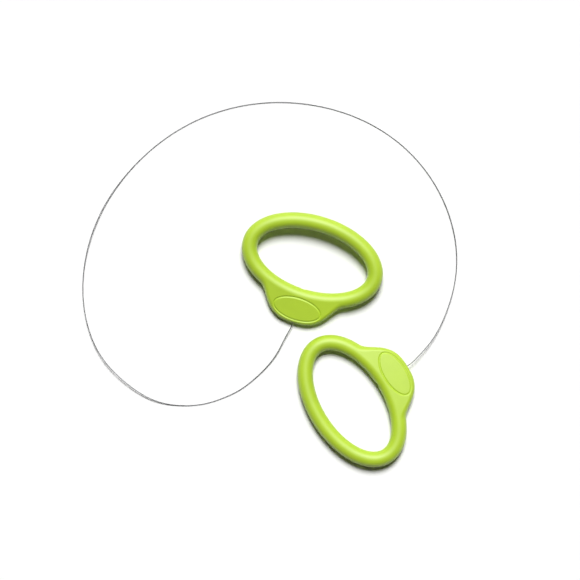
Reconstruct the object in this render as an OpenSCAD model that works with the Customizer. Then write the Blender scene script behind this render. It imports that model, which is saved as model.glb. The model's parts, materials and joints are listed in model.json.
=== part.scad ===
// Clay cutter: a thin stranded wire held between two soft, oval ring handles, laid out flat on a table.
// Millimetres, +Z up. The origin is on the table, in the middle of the box round the two handles.

/* [Ring handle] */
// Outside length of the oval ring
ring_len = 80.2; // [70:0.2:95]
// Outside width of the oval ring, without its tab
ring_wid = 49.8; // [46:0.2:60]
// Diameter of the ring's round section
ring_d = 8.6; // [7.4:0.1:9]
// How much of the underside is flattened, so that the ring rests without rolling
foot_cut = 0.15; // [0.1:0.05:0.3]

/* [Wire tab] */
// How far the tab stands out beyond the ring at its middle
tab_out = 11.2; // [9:0.1:14]
// Distance from the middle at which the tab has died away into the ring
tab_half_w = 22.5; // [19:0.5:26]
// Squareness of the tab's outline: 1 is a cosine bell, and more gives broader shoulders
tab_square = 1.6; // [1.3:0.1:2]
// Thickness of the tab at its middle
tab_t = 5.2; // [5:0.1:6.4]

/* [Label place] */
// Length of the bare oval on the tab
oval_len = 26.5; // [22:0.5:28]
// Width of the bare oval
oval_wid = 12.2; // [10:0.2:12.4]
// How far the oval's middle lies out from the ring's centreline
oval_off = 7.4; // [6.8:0.1:7.6]
// Width of the groove round the oval
groove_w = 0.8; // [0.6:0.1:1]
// Depth of the groove
groove_deep = 0.4; // [0.2:0.05:0.5]

/* [Wire] */
// Outside diameter of the stranded wire
wire_d = 0.5; // [0.4:0.05:0.6]
// Radial clearance of the wire and the washer in the handle, which turns round them
swivel_gap = 0.05; // [0.03:0.01:0.08]

/* [Wire anchor] */
// Depth of the pocket for the anchor, from the inside of the ring
pocket_deep = 8; // [7.5:0.1:9]
// Diameter of the washer that spreads the pull on the soft handle
washer_d = 3.4; // [3:0.1:3.8]
// Thickness of the washer
washer_t = 0.5; // [0.4:0.1:0.8]
// Diameter of the crimp sleeve
sleeve_d = 2; // [1.8:0.1:2.4]
// Length of the crimp sleeve
sleeve_len = 5; // [4:0.1:5.6]
// Depth of each crimp bite in the sleeve
bite_deep = 0.25; // [0.15:0.05:0.3]

/* [Hidden] */

// Where each handle lies: x and y of the ring's centre, the turn of its long axis, and how far it leans on its
// tab's side. The springy wire holds the far side of handle a off the table.
at_a = [-8.7, 43.7, -17.6, 5.5];
at_b = [13.2, -33.8, 122.3, 0];

// The wire's free run from handle a to handle b, as the control points of a smooth curve: x, y and height
route = [
    [-24, 1, 1.9], [-28, -8, 1.3], [-34.5, -16, 0.8], [-41.5, -22.5, 0.5], [-48.5, -28, 0.4], [-57, -32, 0.3],
    [-68, -36, 0.3], [-82.5, -37, 0.3], [-98, -34, 1.2], [-113, -23.5, 2.2], [-127, -9.5, 2.2],
    [-135, 11.5, 1.2], [-136.5, 33.5, 1], [-132.5, 55.5, 1.9], [-123.5, 76.5, 1.4], [-110, 94.5, 0.3],
    [-93.5, 110, 0.25], [-74, 122, 0.25], [-52.5, 129.5, 0.25], [-29.5, 132.5, 0.25], [-6, 130.5, 0.25],
    [16.5, 124, 0.25], [37.5, 112, 0.25], [54.5, 95, 0.25], [66.5, 74, 0.8], [72, 51.5, 1.2], [71, 31.5, 1],
    [65.5, 14, 1.3], [59, 1, 2.4], [52, -7, 3.3]
];
// Straight length of wire outside each handle, and the spacing of the control points there
lead = 1;
lead_step = 2;
// Straight end of wire that shows past the crimp sleeve, inside the pocket
tail = 0.6;

// Half axes of the ring's centreline, and the section's radius and height
ring_r = ring_d / 2;
ring_a = ring_len / 2 - ring_r;
ring_b = ring_wid / 2 - ring_r;
mid_z = ring_r - foot_cut;

// Slope of the tab's faces, which run from the ring's round section straight to the rounded rim
taper = asin((ring_r - tab_t / 2) / (ring_r - tab_t / 2 + tab_out));

// Distances from the ring's centre towards the tab
inner_y = ring_b - ring_r;
rim_y = ring_b + ring_r + tab_out;
floor_y = inner_y + pocket_deep;
washer_y = floor_y - swivel_gap;
sleeve_y = washer_y - washer_t;
tail_y = sleeve_y - sleeve_len - tail;
oval_y = ring_b + oval_off;

// Faceting: stations round the ring, points round its section, spans of wire curve and sides of the wire
ring_steps = 96;
section_sides = 24;
span_steps = 2;
wire_sides = 8;
oval_sides = 48;
round_sides = 48;

lime = [0.62, 0.82, 0.13];
steel = [0.72, 0.73, 0.74];
crimp_metal = [0.78, 0.78, 0.76];

function unit(v) = v / norm(v);
function mix(p, q, t) = p * (1 - t) + q * t;

// Centreline of the ring at angle u, and its outward normal
function ring_at(u) = [ring_a * cos(u), ring_b * sin(u)];
function ring_out(u) = unit([ring_b * cos(u), ring_a * sin(u)]);

// Share of the tab at angle u: 1 in its middle, 0 where only the round ring is left
function tab_share(u) =
    sin(u) > 0 ? 0 : (1 + cos(180 * pow(min(1, abs(ring_a * cos(u)) / tab_half_w), tab_square))) / 2;

// Height of the tab's face above the middle of the section, at a distance s outside the centreline
function face_z(s) = (ring_r - s * sin(taper)) / cos(taper);

// Half thickness at a distance s outside the centreline, where the section reaches out to e.
// The section is the ring's circle, a smaller circle that rounds the rim, and their common tangents.
function half_t(s, e, share) =
    let (rim_r = mix(ring_r, tab_t / 2, share), rim_s = e - rim_r)
    s > rim_s + rim_r * sin(taper) ? sqrt(max(0, pow(rim_r, 2) - pow(s - rim_s, 2)))
    : s > ring_r * sin(taper) ? face_z(s)
    : sqrt(max(0, pow(ring_r, 2) - s * s));

// One point of the handle's surface: u round the ring, v round the section from its outer edge over the top.
// The handle's own z is 0 at the middle of its section.
function skin(u, v) =
    let (share = tab_share(u), e = ring_r + tab_out * share)
    let (s = cos(v) < 0 ? ring_r * cos(v) : e * cos(v))
    let (z = cos(v) < 0 ? ring_r * sin(v) : sign(sin(v)) * half_t(s, e, share))
    let (p = ring_at(u) + ring_out(u) * s)
    [p.x, p.y, z];

// Triangles of a sheet of rings, closed round each ring, and closed end to end if loop is true
function sheet(rings, sides, loop) = [
    for (i = [0 : rings - (loop ? 1 : 2)], j = [0 : sides - 1])
        let (a = i * sides + j, b = i * sides + (j + 1) % sides)
        let (c = ((i + 1) % rings) * sides + (j + 1) % sides, d = ((i + 1) % rings) * sides + j)
        each [[a, b, c], [a, c, d]]
];

// Cubic B-spline through a list of control points, as points along it
function spline_at(p, i, t) =
    (p[i] * pow(1 - t, 3) + p[i + 1] * (3 * pow(t, 3) - 6 * t * t + 4)
    + p[i + 2] * (1 + 3 * t + 3 * t * t - 3 * pow(t, 3)) + p[i + 3] * pow(t, 3)) / 6;
function spline(p) = [
    for (i = [0 : len(p) - 4], k = [0 : span_steps - (i == len(p) - 4 ? 0 : 1)]) spline_at(p, i, k / span_steps)
];

// A point on a handle's wire axis, at a distance y from the ring's centre. The handle leans about the middle of
// its section on the tab's side, which stays where it is.
function on_axis(at, y) =
    let (lean = at[3], reach = ring_b + (y - ring_b) * cos(lean))
    [at.x + reach * sin(at.z), at.y - reach * cos(at.z), mid_z - (y - ring_b) * sin(lean)];
function lead_points(at) = [for (k = [-1 : 1]) on_axis(at, rim_y + lead + k * lead_step)];
function reverse(list) = [for (i = [len(list) - 1 : -1 : 0]) list[i]];

wire_path = concat(
    [on_axis(at_a, tail_y)],
    spline(concat(lead_points(at_a), route, reverse(lead_points(at_b)))),
    [on_axis(at_b, tail_y)]
);
function sum_len(p, i = 1) = i == len(p) ? 0 : norm(p[i] - p[i - 1]) + sum_len(p, i + 1);
echo(wire_length = sum_len(wire_path), wire_rings = len(wire_path));

// Ring of points round the wire path at station i, square to the path
function wire_ring(i) =
    let (t = unit(wire_path[min(i + 1, len(wire_path) - 1)] - wire_path[max(i - 1, 0)]))
    let (side = unit(cross([0, 0, 1], t)), up = cross(t, side))
    [for (k = [0 : wire_sides - 1])
        wire_path[i] + (side * cos(360 * k / wire_sides) + up * sin(360 * k / wire_sides)) * wire_d / 2];

// Puts a handle's pieces where they lie, with the middle of the section at its height above the table
module placed(at) {
    lean = at[3];
    translate([at.x, at.y, mid_z]) rotate([0, 0, at.z])
        translate([0, -ring_b, 0]) rotate([lean, 0, 0]) translate([0, ring_b, 0]) children();
}

// Puts children that stand on +Z along the wire axis, starting at y and running out towards the rim
module along_axis(y) {
    translate([0, -y, 0]) rotate([90, 0, 0]) children();
}

module oval(grow) {
    polygon([for (k = [0 : oval_sides - 1])
        [(oval_len / 2 + grow) * cos(360 * k / oval_sides), (oval_wid / 2 + grow) * sin(360 * k / oval_sides)]]);
}

// The moulded handle: an oval ring whose outer side swells into a flatter tab with a bare oval on top
module moulding() {
    difference() {
        polyhedron(
            points = [for (i = [0 : ring_steps - 1], j = [0 : section_sides - 1])
                skin(360 * i / ring_steps, 360 * j / section_sides)],
            faces = sheet(ring_steps, section_sides, true),
            convexity = 6
        );
        // Groove round the oval, square to the tab's sloping face
        translate([0, -oval_y, face_z(oval_off) - groove_deep]) rotate([taper, 0, 0])
            linear_extrude(ring_d) difference() {
                oval(groove_w / 2);
                oval(-groove_w / 2);
            }
        // Pocket for the washer and the crimp sleeve, open to the inside of the ring
        along_axis(inner_y - ring_r) cylinder(d = washer_d + 2 * swivel_gap, h = pocket_deep + ring_r, $fn = round_sides);
        // Hole for the wire
        along_axis(inner_y) cylinder(d = wire_d + 2 * swivel_gap, h = rim_y - inner_y + ring_r, $fn = round_sides);
    }
}

// A handle in its place, with its underside pressed flat on the table
module handle(at) {
    difference() {
        placed(at) moulding();
        translate([at.x - ring_len, at.y - ring_len, -ring_len]) cube([2 * ring_len, 2 * ring_len, ring_len]);
    }
}

module handle_a() {
    color(lime) handle(at_a);
}

module handle_b() {
    color(lime) handle(at_b);
}

// The stranded wire, drawn as one thin tube from inside one handle to inside the other
module cutting_wire() {
    last = (len(wire_path) - 1) * wire_sides;
    color(steel) polyhedron(
        points = [for (i = [0 : len(wire_path) - 1]) each wire_ring(i)],
        faces = concat(
            sheet(len(wire_path), wire_sides, false),
            [for (k = [1 : wire_sides - 2]) [0, k + 1, k]],
            [for (k = [1 : wire_sides - 2]) [last, last + k, last + k + 1]]
        ),
        convexity = 4
    );
}

// Soft metal sleeve, squeezed on to the wire with one bite on each side
module crimp_sleeve(at) {
    bite = [sleeve_d, bite_deep * 2, sleeve_len * 0.4];
    edge = 0.2;
    placed(at) along_axis(sleeve_y - sleeve_len) difference() {
        union() {
            translate([0, 0, edge]) cylinder(d = sleeve_d, h = sleeve_len - 2 * edge, $fn = round_sides);
            cylinder(d1 = sleeve_d - 2 * edge, d2 = sleeve_d, h = edge, $fn = round_sides);
            translate([0, 0, sleeve_len - edge])
                cylinder(d1 = sleeve_d, d2 = sleeve_d - 2 * edge, h = edge, $fn = round_sides);
        }
        translate([0, 0, -1]) cylinder(d = wire_d, h = sleeve_len + 2, $fn = round_sides);
        for (side = [-1, 1])
            translate([0, side * sleeve_d / 2, sleeve_len / 2]) cube(bite, center = true);
    }
}

module crimp_sleeve_a() {
    color(crimp_metal) crimp_sleeve(at_a);
}

module crimp_sleeve_b() {
    color(crimp_metal) crimp_sleeve(at_b);
}

// Plain washer between the crimp sleeve and the floor of the pocket
module washer(at) {
    placed(at) along_axis(washer_y - washer_t) difference() {
        cylinder(d = washer_d, h = washer_t, $fn = round_sides);
        translate([0, 0, -1]) cylinder(d = wire_d + 2 * swivel_gap, h = washer_t + 2, $fn = round_sides);
    }
}

module washer_a() {
    color(steel) washer(at_a);
}

module washer_b() {
    color(steel) washer(at_b);
}

handle_a();
handle_b();
cutting_wire();
crimp_sleeve_a();
crimp_sleeve_b();
washer_a();
washer_b();
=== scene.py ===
import json
import math

import bpy
import numpy as np
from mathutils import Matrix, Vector


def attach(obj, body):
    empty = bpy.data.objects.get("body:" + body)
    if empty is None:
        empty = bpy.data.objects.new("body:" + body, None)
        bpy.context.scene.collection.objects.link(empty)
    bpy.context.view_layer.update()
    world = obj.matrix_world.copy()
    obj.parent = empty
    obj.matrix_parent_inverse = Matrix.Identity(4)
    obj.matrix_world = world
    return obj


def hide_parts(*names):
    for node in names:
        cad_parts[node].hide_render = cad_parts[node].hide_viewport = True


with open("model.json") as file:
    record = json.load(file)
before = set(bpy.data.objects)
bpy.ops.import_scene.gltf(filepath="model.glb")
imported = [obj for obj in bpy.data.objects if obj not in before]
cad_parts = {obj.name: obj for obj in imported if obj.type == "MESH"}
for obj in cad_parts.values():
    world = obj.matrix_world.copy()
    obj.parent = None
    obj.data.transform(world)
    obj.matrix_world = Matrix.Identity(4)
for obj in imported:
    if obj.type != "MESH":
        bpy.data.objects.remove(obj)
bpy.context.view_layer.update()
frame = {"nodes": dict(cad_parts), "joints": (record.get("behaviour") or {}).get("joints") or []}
MM = 0.001

# Camera
# The photograph looks almost straight down with a long lens. Its middle falls between the wire's loop and
# the handles, and one of its pixels covers 0.5525 mm of the table.
PHOTO_PIXELS = 580
PIXEL_SIZE = 0.5525 * MM
PHOTO_MIDDLE = Vector((-21.05 * MM, 27.42 * MM, 4 * MM))
CAMERA_HEIGHT_ANGLE = math.radians(88.5)
CAMERA_DISTANCE = 1.5
SENSOR_MM = 36

camera_data = bpy.data.cameras.new("camera")
camera_data.sensor_width = SENSOR_MM
camera_data.lens = SENSOR_MM * CAMERA_DISTANCE / (PHOTO_PIXELS * PIXEL_SIZE)
camera = bpy.data.objects.new("camera", camera_data)
bpy.context.scene.collection.objects.link(camera)
look_back = Vector((0, -math.cos(CAMERA_HEIGHT_ANGLE), math.sin(CAMERA_HEIGHT_ANGLE)))
camera.location = PHOTO_MIDDLE + look_back * CAMERA_DISTANCE
camera.rotation_euler = (math.pi / 2 - CAMERA_HEIGHT_ANGLE, 0, 0)
bpy.context.scene.camera = camera

# Ring handles
# Each handle is one moulding of soft thermoplastic rubber: an oval ring with a round section, whose outer
# side swells into a flatter tab. A shallow groove rings a bare oval on the tab. The wire comes out of the
# middle of the tab's rim, from an anchor in a pocket that opens on the inside of the ring.
RING_LENGTH = 80.2 * MM
RING_WIDTH = 49.8 * MM
RING_RADIUS = 8.6 * MM / 2
TAB_OUT = 11.2 * MM
TAB_HALF_WIDTH = 22.5 * MM
TAB_SQUARENESS = 1.6
TAB_THICKNESS = 5.2 * MM
OVAL_HALF = (26.5 * MM / 2, 12.2 * MM / 2)
OVAL_OFFSET = 7.4 * MM
GROOVE_WIDTH = 1.4 * MM
GROOVE_DEPTH = 0.4 * MM

# Half axes of the ellipse that is the ring's centreline, distances from its middle towards the tab, and the
# slope of the tab's faces.
HALF_A = RING_LENGTH / 2 - RING_RADIUS
HALF_B = RING_WIDTH / 2 - RING_RADIUS
INNER_Y = HALF_B - RING_RADIUS
RIM_Y = HALF_B + RING_RADIUS + TAB_OUT
OVAL_Y = HALF_B + OVAL_OFFSET
TAPER = math.asin((RING_RADIUS - TAB_THICKNESS / 2) / (RING_RADIUS - TAB_THICKNESS / 2 + TAB_OUT))


def tab_share(u):
    """A cosine bell over the distance from the tab's middle: 1 there, and 0 where only the ring is left."""
    across = np.clip(np.abs(HALF_A * np.cos(u)) / TAB_HALF_WIDTH, 0, 1)
    return np.where(np.sin(u) > 0, 0, (1 + np.cos(np.pi * across ** TAB_SQUARENESS)) / 2)


def half_thickness(s, reach, share):
    """Half thickness at a distance s outside the ring's centreline, in a section that reaches out to reach.

    The section is two circles and their common tangents: the ring's own circle, and a smaller one that
    rounds the rim. Their sizes and places change together, so the tangents' slope is always the same."""
    rim = RING_RADIUS + (TAB_THICKNESS / 2 - RING_RADIUS) * share
    rim_centre = reach - rim
    on_ring = np.sqrt(np.maximum(0, RING_RADIUS ** 2 - s ** 2))
    on_rim = np.sqrt(np.maximum(0, rim ** 2 - (s - rim_centre) ** 2))
    on_tangent = (RING_RADIUS - s * math.sin(TAPER)) / math.cos(TAPER)
    past_ring = s > RING_RADIUS * math.sin(TAPER)
    past_tangent = s > rim_centre + rim * math.sin(TAPER)
    return np.where(past_tangent, on_rim, np.where(past_ring, on_tangent, on_ring))


def label_groove(x, y):
    """Depth of the groove round the bare oval: a raised cosine of the distance to the oval's line.

    That distance is f / |grad f|, with f the ellipse's equation. The slope is kept off 0 at its middle."""
    across, along = x / OVAL_HALF[0], (y + OVAL_Y) / OVAL_HALF[1]
    steepness = 2 * np.hypot(across / OVAL_HALF[0], along / OVAL_HALF[1])
    distance = (across ** 2 + along ** 2 - 1) / np.maximum(steepness, 1)
    return GROOVE_DEPTH * (1 + np.cos(np.pi * np.clip(distance / (GROOVE_WIDTH / 2), -1, 1))) / 2


def handle_skin(u, v):
    """Points of the handle at angles u round the ring and v round its section, in the handle's own frame.

    The frame's z is 0 at the middle of the section. The inner half of the section is a half circle, and the
    outer half reaches out to the tab's rim."""
    u, v = np.meshgrid(u, v, indexing="ij")
    share = tab_share(u)
    reach = RING_RADIUS + TAB_OUT * share
    inner = np.cos(v) < 0
    s = np.where(inner, RING_RADIUS, reach) * np.cos(v)
    outer_z = np.sign(np.sin(v)) * half_thickness(np.maximum(s, 0), reach, share)
    z = np.where(inner, RING_RADIUS * np.sin(v), outer_z)
    out_x, out_y = HALF_B * np.cos(u), HALF_A * np.sin(u)
    size = np.hypot(out_x, out_y)
    x = HALF_A * np.cos(u) + out_x / size * s
    y = HALF_B * np.sin(u) + out_y / size * s
    z = z - np.where(np.sin(v) > 0, label_groove(x, y), 0)
    return np.stack([x, y, z], -1)


def mesh_object(name, points, faces):
    """A smooth-shaded mesh piece from an array of points and a list of faces."""
    mesh = bpy.data.meshes.new(name)
    mesh.from_pydata(points.reshape(-1, 3).tolist(), [], faces)
    mesh.polygons.foreach_set("use_smooth", [True] * len(mesh.polygons))
    mesh.update()
    piece = bpy.data.objects.new(name, mesh)
    bpy.context.scene.collection.objects.link(piece)
    return piece


def grid_faces(rows, columns, close_rows):
    """Quads of a grid of points, closed across its columns, and across its rows if close_rows is true."""
    i = np.arange(rows if close_rows else rows - 1)[:, None]
    j = np.arange(columns)[None, :]
    here, right = i * columns + j, i * columns + (j + 1) % columns
    ahead, ahead_right = (i + 1) % rows * columns + j, (i + 1) % rows * columns + (j + 1) % columns
    return np.stack([here, ahead, ahead_right, right], -1).reshape(-1, 4).tolist()


def closed_tube(name, points):
    """A tube from a grid of points with one ring of the tube in each row, and a flat face on each end.

    The rings turn right-handed about the way that the tube runs, so that its faces look outwards."""
    rows, columns = points.shape[:2]
    sides = [face[::-1] for face in grid_faces(rows, columns, False)]
    start = list(range(columns))[::-1]
    end = list(range((rows - 1) * columns, rows * columns))
    return mesh_object(name, points, sides + [start, end])


# The wire and the washer of its anchor turn in the rubber with a small gap round them.
WIRE_DIAMETER = 0.5 * MM
WASHER_DIAMETER = 3.4 * MM
SWIVEL_GAP = 0.05 * MM
POCKET_DEPTH = 8 * MM
HOLE_EASE = 0.35 * MM
HOLE_SIDES = 48

POCKET_RADIUS = WASHER_DIAMETER / 2 + SWIVEL_GAP
WIRE_HOLE_RADIUS = WIRE_DIAMETER / 2 + SWIVEL_GAP


def hole_cutter():
    """The anchor's pocket and the wire's hole as one body, with eased mouths.

    It is a profile of distances along the wire's axis and radii, turned about that axis."""
    mouth, floor = INNER_Y, INNER_Y + POCKET_DEPTH
    profile = np.array([
        (mouth - RING_RADIUS, POCKET_RADIUS + HOLE_EASE),
        (mouth + HOLE_EASE / 2, POCKET_RADIUS + HOLE_EASE),
        (mouth + HOLE_EASE * 1.5, POCKET_RADIUS),
        (floor, POCKET_RADIUS),
        (floor, WIRE_HOLE_RADIUS),
        (RIM_Y - HOLE_EASE, WIRE_HOLE_RADIUS),
        (RIM_Y, WIRE_HOLE_RADIUS + HOLE_EASE),
        (RIM_Y + RING_RADIUS, WIRE_HOLE_RADIUS + HOLE_EASE),
    ])
    turn = np.arange(HOLE_SIDES) * 2 * np.pi / HOLE_SIDES
    along, radius = profile[:, :1], profile[:, 1:]
    points = np.stack([radius * np.cos(turn), -along + 0 * turn, radius * np.sin(turn)], -1)
    return closed_tube("hole_cutter", points)


# The grid is finest where the groove crosses it: its columns lie closer within TAB_TURN of the tab's
# middle, and its rows on top are evenly spaced from the ring's centreline out to FLAT_SHARE of the reach.
TAB_TURN = math.radians(26)
TAB_COLUMNS, RING_COLUMNS = 220, 240
FLAT_SHARE = 0.84
RIM_ROWS, TOP_ROWS, INNER_ROWS, UNDER_ROWS = 20, 95, 36, 30

column_turns = np.concatenate([
    np.linspace(-math.pi / 2 - TAB_TURN, -math.pi / 2 + TAB_TURN, TAB_COLUMNS, endpoint=False),
    np.linspace(-math.pi / 2 + TAB_TURN, 3 * math.pi / 2 - TAB_TURN, RING_COLUMNS, endpoint=False),
])
row_turns = np.concatenate([
    np.linspace(0, math.acos(FLAT_SHARE), RIM_ROWS, endpoint=False),
    np.arccos(np.linspace(FLAT_SHARE, 0, TOP_ROWS, endpoint=False)),
    np.linspace(math.pi / 2, 3 * math.pi / 2, INNER_ROWS, endpoint=False),
    np.linspace(3 * math.pi / 2, 2 * math.pi, UNDER_ROWS, endpoint=False),
])


def linear(hex_colour):
    """An sRGB hex colour as linear red, green, blue and alpha."""
    srgb = [int(hex_colour[k:k + 2], 16) / 255 for k in (1, 3, 5)]
    return [c / 12.92 if c <= 0.04045 else ((c + 0.055) / 1.055) ** 2.4 for c in srgb] + [1]


def empty_nodes(owner):
    """The same material or world, with its shader nodes switched on and none in it."""
    owner.use_nodes = True
    owner.node_tree.nodes.clear()
    return owner


def add_node(owner, kind, links=(), **settings):
    """A shader node of a material or world, with its settings by socket name or property.

    It is fed by links, each the name of its own socket and another node's output."""
    node = owner.node_tree.nodes.new(kind)
    for name, value in settings.items():
        if hasattr(node, name):
            setattr(node, name, value)
        else:
            node.inputs[name.replace("_", " ")].default_value = value
    for socket, output in links:
        owner.node_tree.links.new(output, node.inputs[socket])
    return node


def moulded_rubber():
    """Thermoplastic rubber in lime green, from a lightly grained mould.

    It gives the eye a broad, soft highlight, pale flanks where the skin is seen at a slant, a colour that
    runs all through, and the faint unevenness of a soft skin that has been handled. The IOR is set above
    rubber's own 1.5, because the skin of the real one throws back more of the white table."""
    material = empty_nodes(bpy.data.materials.new("moulded_thermoplastic_rubber"))
    place = add_node(material, "ShaderNodeTexCoord")
    cloud = add_node(material, "ShaderNodeTexNoise", [("Vector", place.outputs["Object"])],
                     Scale=1 / (14 * MM), Detail=3.0, Roughness=0.5)
    tone = add_node(material, "ShaderNodeValToRGB", [("Fac", cloud.outputs["Fac"])])
    tone.color_ramp.elements[0].position = 0.35
    tone.color_ramp.elements[0].color = linear("#B9DC1F")
    tone.color_ramp.elements[1].position = 0.65
    tone.color_ramp.elements[1].color = linear("#BFE220")
    grain = add_node(material, "ShaderNodeTexNoise", [("Vector", place.outputs["Object"])],
                     Scale=1 / (0.35 * MM), Detail=2.0, Roughness=0.6)
    gloss = add_node(material, "ShaderNodeMapRange", [("Value", grain.outputs["Fac"])],
                     From_Min=0.3, From_Max=0.7, To_Min=0.52, To_Max=0.6)
    bump = add_node(material, "ShaderNodeBump", [("Height", grain.outputs["Fac"])],
                    Strength=0.25, Distance=0.02 * MM)
    rubber = add_node(material, "ShaderNodeBsdfPrincipled", [
        ("Base Color", tone.outputs["Color"]), ("Roughness", gloss.outputs["Result"]),
        ("Normal", bump.outputs["Normal"]),
    ], IOR=1.9, Sheen_Weight=0.35, Sheen_Roughness=0.42)
    add_node(material, "ShaderNodeOutputMaterial", [("Surface", rubber.outputs["BSDF"])])
    return material


def swivel(body):
    """Where the wire comes out of a handle, and which way: the place and axis of the joint it turns on."""
    joint = next(joint for joint in frame["joints"] if joint["child"] == body)
    return np.array(joint["pos_m"]), np.array(joint["axis"])


def handle_place(body):
    """Where a handle lies: its ring's centre, and its own x, y and z directions as the rows of a matrix.

    The wire comes out along the handle's -y, and the handle's x is level."""
    wire_exit, out = swivel(body)
    level = np.cross([0, 0, 1], out)
    level /= np.linalg.norm(level)
    return wire_exit - out * RIM_Y, np.stack([level, -out, np.cross(level, -out)])


# Edges that turn further than this stay crisp, as at the floor of the pocket and the mouths of the holes.
SHARP_ANGLE = math.radians(40)


def ring_handle(body, material):
    """One handle in its place, with its holes cut and its underside pressed flat on the table."""
    shape = handle_skin(column_turns, row_turns)
    piece = mesh_object(body + "_moulding", shape, grid_faces(len(column_turns), len(row_turns), True))
    cutter = hole_cutter()
    cut = piece.modifiers.new("holes", "BOOLEAN")
    cut.operation, cut.solver = "DIFFERENCE", "EXACT"
    cut.object = cutter
    moulding = bpy.data.meshes.new_from_object(piece.evaluated_get(bpy.context.evaluated_depsgraph_get()))
    piece.modifiers.clear()
    piece.data = moulding
    bpy.data.objects.remove(cutter)
    points = np.empty(len(moulding.vertices) * 3)
    moulding.vertices.foreach_get("co", points)
    centre, directions = handle_place(body)
    points = centre + points.reshape(-1, 3) @ directions
    points[:, 2] = np.maximum(points[:, 2], 0)
    moulding.vertices.foreach_set("co", points.ravel())
    moulding.set_sharp_from_angle(angle=SHARP_ANGLE)
    moulding.materials.append(material)
    moulding.update()
    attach(piece, body)
    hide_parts(body)


lime_rubber = moulded_rubber()
for handle_body in ("handle_a", "handle_b"):
    ring_handle(handle_body, lime_rubber)

# Cutting wire
# One strand of seven fine stainless wires: six twisted round a straight core, one turn in nine diameters.
# It runs from the anchor in one handle to the anchor in the other. It is springy, so it rises 1 to 4 mm off
# the table near the handles and at the left of its loop.
WIRE_LAY = 9 * WIRE_DIAMETER
STRANDS, STRAND_POINTS = 6, 6
WIRE_ROUTE = MM * np.array([
    (-24, 1, 1.9), (-28, -8, 1.3), (-34.5, -16, 0.8), (-41.5, -22.5, 0.5), (-48.5, -28, 0.4),
    (-57, -32, 0.3), (-68, -36, 0.3), (-82.5, -37, 0.3), (-98, -34, 1.2), (-113, -23.5, 2.2),
    (-127, -9.5, 2.2), (-135, 11.5, 1.2), (-136.5, 33.5, 1), (-132.5, 55.5, 1.9), (-123.5, 76.5, 1.4),
    (-110, 94.5, 0.3), (-93.5, 110, 0.25), (-74, 122, 0.25), (-52.5, 129.5, 0.25), (-29.5, 132.5, 0.25),
    (-6, 130.5, 0.25), (16.5, 124, 0.25), (37.5, 112, 0.25), (54.5, 95, 0.25), (66.5, 74, 0.8),
    (72, 51.5, 1.2), (71, 31.5, 1), (65.5, 14, 1.3), (59, 1, 2.4), (52, -7, 3.3),
])
SPAN_POINTS, WIRE_RINGS = 200, 1600

# The wire is straight for LEAD outside each handle, with control points LEAD_STEP apart. Inside, it ends in
# the pocket, behind the washer and the crimp sleeve.
LEAD, LEAD_STEP = 1 * MM, 2 * MM
WASHER_THICKNESS = 0.5 * MM
SLEEVE_LENGTH = 5 * MM
WIRE_END = 0.6 * MM
TAIL_Y = INNER_Y + POCKET_DEPTH - SWIVEL_GAP - WASHER_THICKNESS - SLEEVE_LENGTH - WIRE_END


def wire_axis_points(body, distances):
    """Points on a handle's wire axis at these distances from the middle of its ring."""
    wire_exit, out = swivel(body)
    return wire_exit + (np.array(distances)[:, None] - RIM_Y) * out


def spline(control, steps):
    """The uniform cubic B-spline of a list of control points, at this many points for each span."""
    t = (np.arange(steps) / steps)[None, :, None]
    a, b, c, d = (control[k:len(control) - 3 + k, None] for k in range(4))
    curve = a * (1 - t) ** 3 + b * (3 * t ** 3 - 6 * t ** 2 + 4) + c * (1 + 3 * t + 3 * t ** 2 - 3 * t ** 3)
    curve = (curve + d * t ** 3) / 6
    end = (control[-3] + 4 * control[-2] + control[-1]) / 6
    return np.vstack([curve.reshape(-1, 3), end])


def even_path(points, count):
    """The same path with its points spread evenly along it, and the distance of each from the start."""
    length = np.concatenate([[0], np.cumsum(np.linalg.norm(np.diff(points, axis=0), axis=1))])
    at = np.linspace(0, length[-1], count)
    return np.stack([np.interp(at, length, points[:, k]) for k in range(3)], -1), at


def strand_radius(turn):
    """Outline of six round strands that touch each other round a seventh of their own size.

    Within 30 degrees of a strand's middle the outline is that strand's far side:
    r (2 cos a + sqrt(1 - 4 sin^2 a)), with r the strand's radius, a sixth of the wire's diameter."""
    a = (turn + np.pi / STRANDS) % (2 * np.pi / STRANDS) - np.pi / STRANDS
    return WIRE_DIAMETER / 6 * (2 * np.cos(a) + np.sqrt(np.maximum(0, 1 - 4 * np.sin(a) ** 2)))


def cutting_wire():
    """The strand's outline carried along the wire's path, turned once in each lay.

    Returns the piece, the points of its path and its length."""
    lead_distances = RIM_Y + LEAD + LEAD_STEP * np.array([-1, 0, 1])
    start, end = (wire_axis_points(body, lead_distances) for body in ("handle_a", "handle_b"))
    tail_a, tail_b = (wire_axis_points(body, [TAIL_Y]) for body in ("handle_a", "handle_b"))
    curve = spline(np.vstack([start, WIRE_ROUTE, end[::-1]]), SPAN_POINTS)
    path, distance = even_path(np.vstack([tail_a, curve, tail_b]), WIRE_RINGS)
    ahead = np.gradient(path, axis=0)
    ahead /= np.linalg.norm(ahead, axis=1)[:, None]
    side = np.cross([0, 0, 1], ahead)
    side /= np.linalg.norm(side, axis=1)[:, None]
    up = np.cross(ahead, side)
    turn = np.arange(STRANDS * STRAND_POINTS) * 2 * np.pi / (STRANDS * STRAND_POINTS)
    turned = turn + (distance * 2 * np.pi / WIRE_LAY)[:, None]
    around = np.cos(turned)[..., None] * side[:, None] + np.sin(turned)[..., None] * up[:, None]
    points = path[:, None] + strand_radius(turn)[:, None] * around
    return closed_tube("cutting_wire_strand", points), path, distance[-1]


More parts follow.
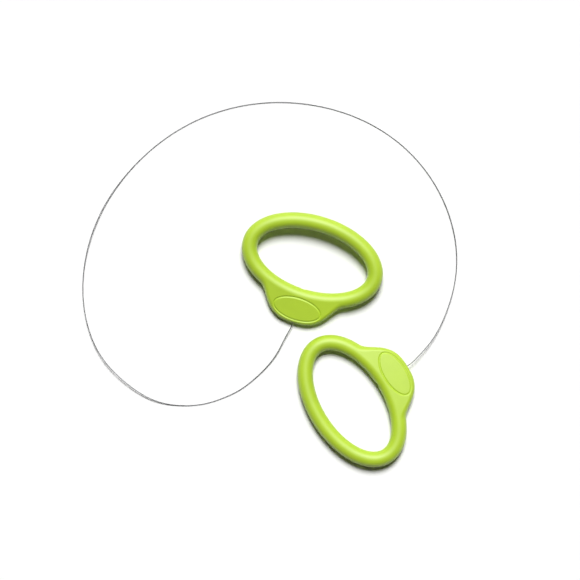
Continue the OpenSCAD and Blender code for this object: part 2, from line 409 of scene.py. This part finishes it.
def drawn_stainless():
    """Stainless spring wire, drawn and then stranded.

    It gives the eye a grey line, a little duller or brighter from place to place, with soft glints that the
    twist breaks up."""
    material = empty_nodes(bpy.data.materials.new("drawn_stainless_wire"))
    place = add_node(material, "ShaderNodeTexCoord")
    haze = add_node(material, "ShaderNodeTexNoise", [("Vector", place.outputs["Object"])],
                    Scale=1 / (2.5 * MM), Detail=2.0)
    gloss = add_node(material, "ShaderNodeMapRange", [("Value", haze.outputs["Fac"])],
                     From_Min=0.3, From_Max=0.7, To_Min=0.38, To_Max=0.5)
    tone = add_node(material, "ShaderNodeValToRGB", [("Fac", haze.outputs["Fac"])])
    tone.color_ramp.elements[0].color = linear("#7C7D7F")
    tone.color_ramp.elements[1].color = linear("#98999A")
    steel = add_node(material, "ShaderNodeBsdfPrincipled", [
        ("Base Color", tone.outputs["Color"]), ("Roughness", gloss.outputs["Result"]),
    ], Metallic=1.0)
    add_node(material, "ShaderNodeOutputMaterial", [("Surface", steel.outputs["BSDF"])])
    return material


wire, wire_path, wire_length = cutting_wire()
wire.data.materials.append(drawn_stainless())
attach(wire, "wire")
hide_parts("cutting_wire")

# Wire anchors
# In each handle a soft metal sleeve is squeezed on to the wire's end, and a stamped washer spreads its pull
# on the floor of the rubber pocket. The CAD solids have their shapes, so only their finish is made here.
GLOSS_SPREAD = 0.08


def worn_metal(name, dark, light, roughness, grain_size):
    """A plain metal with a fine grain: dull and slightly uneven where the tool squeezed or cut it."""
    material = empty_nodes(bpy.data.materials.new(name))
    place = add_node(material, "ShaderNodeTexCoord")
    grain = add_node(material, "ShaderNodeTexNoise", [("Vector", place.outputs["Object"])],
                     Scale=1 / grain_size, Detail=4.0)
    tone = add_node(material, "ShaderNodeValToRGB", [("Fac", grain.outputs["Fac"])])
    tone.color_ramp.elements[0].color = linear(dark)
    tone.color_ramp.elements[1].color = linear(light)
    gloss = add_node(material, "ShaderNodeMapRange", [("Value", grain.outputs["Fac"])],
                     To_Min=roughness - GLOSS_SPREAD, To_Max=roughness + GLOSS_SPREAD)
    bump = add_node(material, "ShaderNodeBump", [("Height", grain.outputs["Fac"])],
                    Strength=0.3, Distance=0.01 * MM)
    metal = add_node(material, "ShaderNodeBsdfPrincipled", [
        ("Base Color", tone.outputs["Color"]), ("Roughness", gloss.outputs["Result"]),
        ("Normal", bump.outputs["Normal"]),
    ], Metallic=1.0)
    add_node(material, "ShaderNodeOutputMaterial", [("Surface", metal.outputs["BSDF"])])
    return material


crimped_alloy = worn_metal("squeezed_aluminium", "#A9A9A6", "#CFCFCB", 0.42, 0.5 * MM)
stamped_steel = worn_metal("stamped_stainless_washer", "#9A9B9D", "#BDBEC0", 0.34, 0.4 * MM)
for kind, finish, slot_name in (
    ("crimp_sleeve", crimped_alloy, "crimp_alloy"),
    ("washer", stamped_steel, "washer_steel"),
):
    for end in ("a", "b"):
        anchor = frame["nodes"][f"{kind}_{end}"]
        anchor.data.materials.clear()
        anchor.data.materials.append(finish)

# Table and light
# A white table with a white wall far round it, so that they fill the picture from any side, under one large
# soft lamp that stands behind the tool. The room above is dim, so the shadows are deep and close. The table
# lies a hair under z = 0, clear of the handles' flat undersides.
TABLE_REACH = 6.0
TABLE_DROP = 0.02 * MM
TABLE_TONE, TABLE_SHOWN = 0.65, 1.02
WALL_HEIGHT = 1.2
LAMP_TURN = math.radians(4.5)
LAMP_HEIGHT_ANGLE = math.radians(58)
LAMP_SPREAD = math.radians(25)
LAMP_STRENGTH = 3.6
ROOM_COLOUR, ROOM_LEVEL = "#FFF7ED", 0.03


def looked_at(material):
    """1 where a surface is seen by the camera, in a reflection or through a clear piece, 0 elsewhere."""
    rays = add_node(material, "ShaderNodeLightPath")
    seen = add_node(material, "ShaderNodeMath", [
        (0, rays.outputs["Is Camera Ray"]), (1, rays.outputs["Is Glossy Ray"]),
    ], operation="MAXIMUM")
    return add_node(material, "ShaderNodeMath", [
        (0, seen.outputs["Value"]), (1, rays.outputs["Is Transmission Ray"]),
    ], operation="MAXIMUM").outputs["Value"]


def white_table():
    """A matt white sheet, which throws less light back on the object than it shows to the eye.

    It is shown at just over 1, so that the lamp brings it to full white."""
    material = empty_nodes(bpy.data.materials.new("white_table"))
    tone = add_node(material, "ShaderNodeMapRange", [("Value", looked_at(material))],
                    To_Min=TABLE_TONE, To_Max=TABLE_SHOWN)
    sheet = add_node(material, "ShaderNodeBsdfDiffuse", [("Color", tone.outputs["Result"])])
    add_node(material, "ShaderNodeOutputMaterial", [("Surface", sheet.outputs["BSDF"])])
    return material


def white_wall():
    """A wall that only shows as white, and lights nothing."""
    material = empty_nodes(bpy.data.materials.new("white_wall"))
    paper = add_node(material, "ShaderNodeEmission", [("Strength", looked_at(material))],
                     Color=linear("#FFFFFF"))
    add_node(material, "ShaderNodeOutputMaterial", [("Surface", paper.outputs["Emission"])])
    return material


corners = np.array([(-1, -1), (1, -1), (1, 1), (-1, 1)]) * TABLE_REACH
edge = np.column_stack([corners, np.full(4, -TABLE_DROP)])
table = mesh_object("table", edge, [(0, 1, 2, 3)])
wall = mesh_object("wall", np.stack([edge, edge + [0, 0, WALL_HEIGHT]]), grid_faces(2, 4, False))
# The lamp shines in over the wall, whose shadow would darken the far part of the table.
wall.visible_shadow = False
for backdrop, finish in ((table, white_table()), (wall, white_wall())):
    backdrop.data.materials.append(finish)

lamp_data = bpy.data.lights.new("soft_lamp", "SUN")
lamp_data.energy = LAMP_STRENGTH
lamp_data.angle = LAMP_SPREAD
lamp = bpy.data.objects.new("soft_lamp", lamp_data)
lamp.rotation_euler = (LAMP_HEIGHT_ANGLE - math.pi / 2, 0, -LAMP_TURN)
bpy.context.scene.collection.objects.link(lamp)

world = empty_nodes(bpy.data.worlds.new("dim_room"))
room = add_node(world, "ShaderNodeBackground", Color=linear(ROOM_COLOUR), Strength=ROOM_LEVEL)
add_node(world, "ShaderNodeOutputWorld", [("Surface", room.outputs["Background"])])
bpy.context.scene.world = world
bpy.context.scene.view_settings.view_transform = "Standard"
